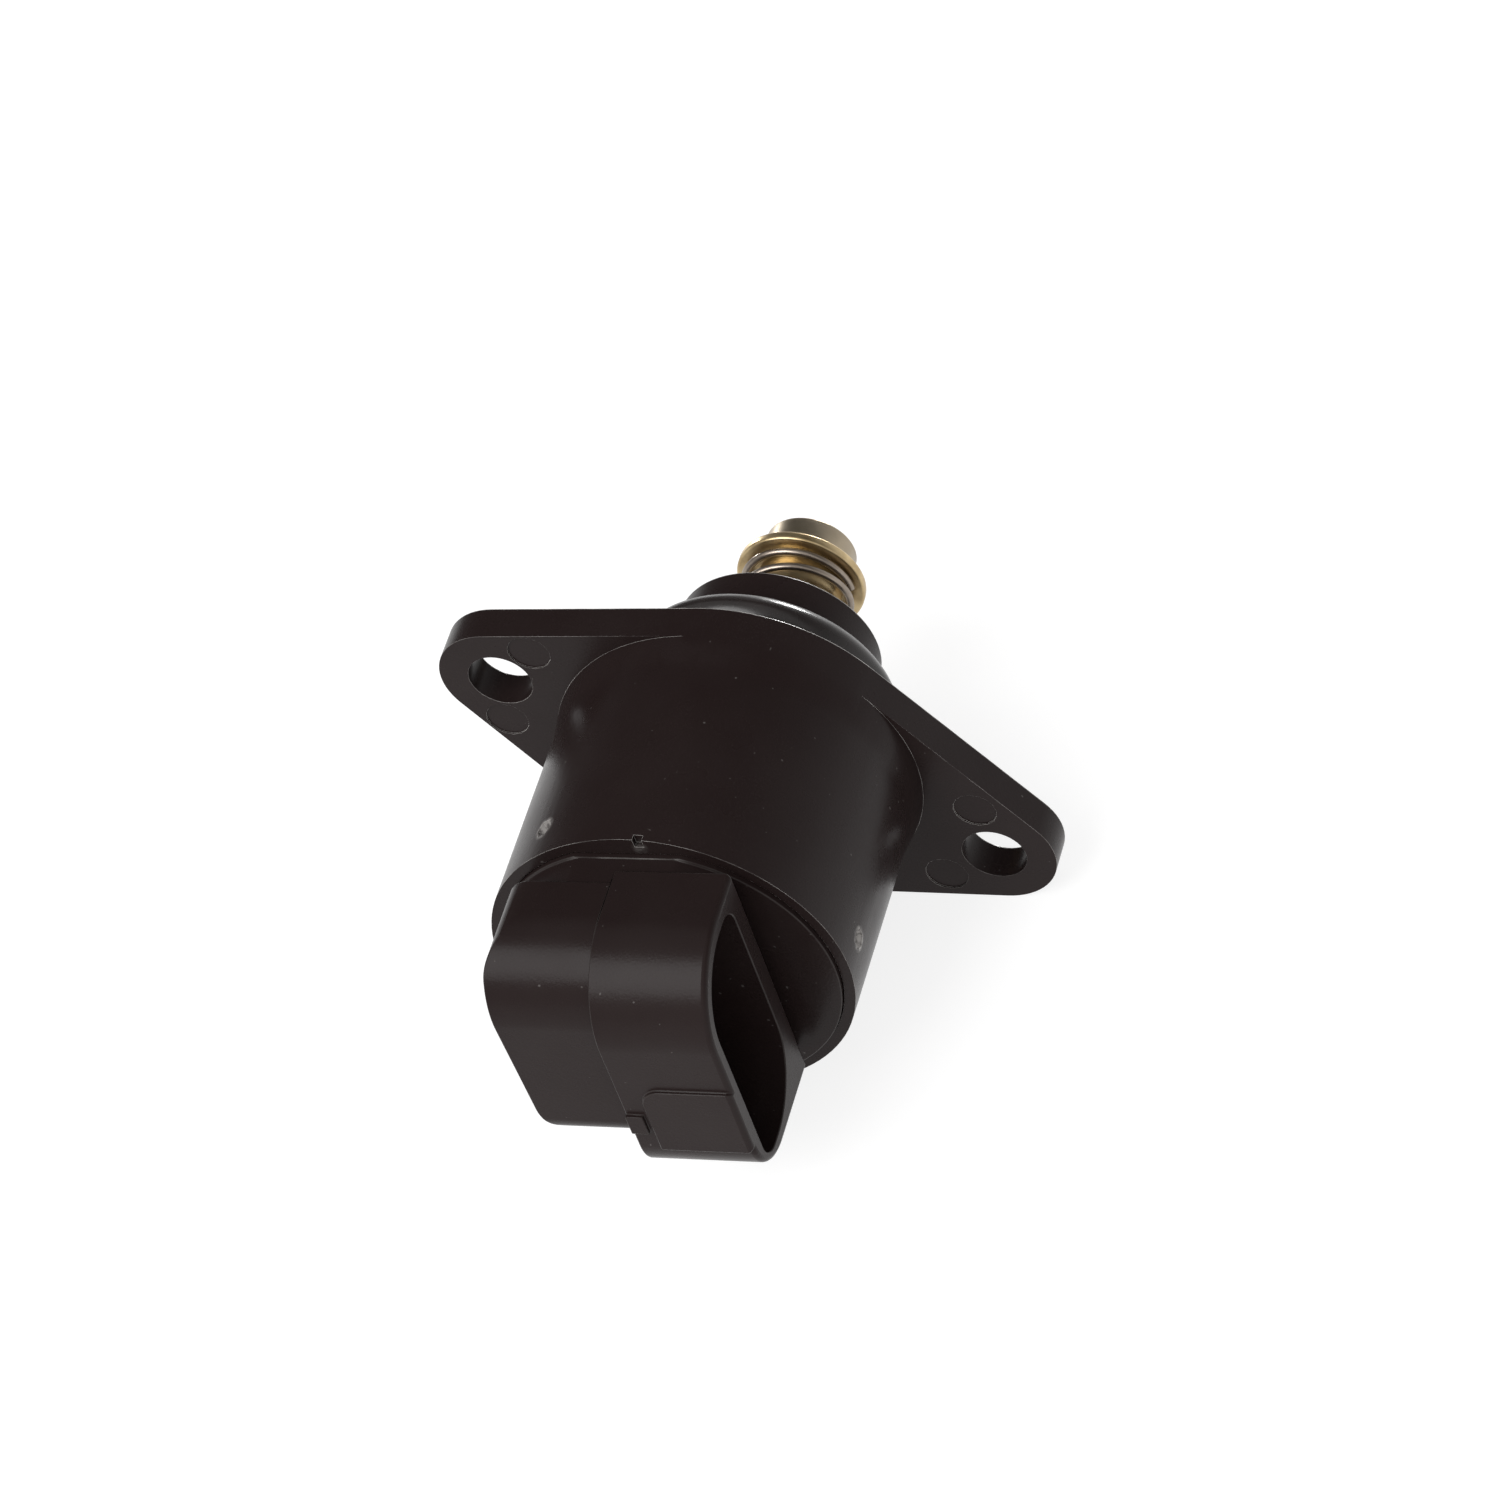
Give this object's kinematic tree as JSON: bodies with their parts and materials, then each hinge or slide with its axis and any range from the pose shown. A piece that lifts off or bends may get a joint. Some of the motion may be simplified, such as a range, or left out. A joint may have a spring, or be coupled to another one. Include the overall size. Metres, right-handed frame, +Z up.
{
  "type": "idle air control valve",
  "caption": "Flanged engine air valve: a stepper motor in a round black moulding drives a sprung pintle out of its nose, fed through a shrouded plug socket.",
  "frame": {"origin": "on the valve's axis, in the flange's mounting face", "axes": "+Y along the valve's axis towards the pintle, +X out of the plug socket's mouth, +Z up, square to the flange's straight lower edge"},
  "size_m": [0.0552, 0.0689, 0.0358],
  "materials": {
    "black_moulding": "satin glass-filled moulding",
    "cap_moulding": "satin glass-filled moulding",
    "ring_rubber": "satin rubber",
    "head_metal": "turned, dull",
    "yellow_plating": "yellow passivated zinc",
    "spring_steel": "drawn wire",
    "stem_steel": "rolled",
    "contact_metal": "tinned",
    "stator_steel": "zinc plated",
    "bobbin_plastic": "plain moulding",
    "copper_winding": "enamelled copper",
    "hub_plastic": "plain moulding",
    "magnet_ferrite": "ground ferrite",
    "bearing_bronze": "sintered"
  },
  "bodies": {
    "valve_body": {"housing": "black_moulding", "end_cap": "cap_moulding", "nose_o_ring": "ring_rubber", "return_spring": "spring_steel", "terminal_pin_1": "contact_metal", "terminal_pin_2": "contact_metal", "terminal_pin_3": "contact_metal", "terminal_pin_4": "contact_metal", "front_stator_cup": "stator_steel", "rear_stator_cup": "stator_steel", "centre_pole_plate": "stator_steel", "front_bobbin": "bobbin_plastic", "rear_bobbin": "bobbin_plastic", "front_coil": "copper_winding", "rear_coil": "copper_winding", "front_bearing": "bearing_bronze", "rear_bush": "bearing_bronze", "stem_guide": "bobbin_plastic"},
    "rotor": {"rotor_hub": "hub_plastic", "rotor_magnet": "magnet_ferrite"},
    "pintle": {"lead_screw": "stem_steel", "pintle_tip": "head_metal", "spring_retainer": "yellow_plating"}
  },
  "joints": [
    {"name": "rotor_spin", "type": "hinge", "parent": "valve_body", "child": "rotor", "pos_m": [0, 0, 0], "axis": [0, 1, 0], "range_deg": [-540, 2520]},
    {"name": "pintle_slide", "type": "slide", "parent": "valve_body", "child": "pintle", "axis": [0, 1, 0], "range_m": [-0.007, 0.0015], "deforming": ["return_spring"]}
  ],
  "couplings": [
    {"joint": "pintle_slide", "follows": "rotor_spin", "m_per_rad": -0.00015915}
  ]
}
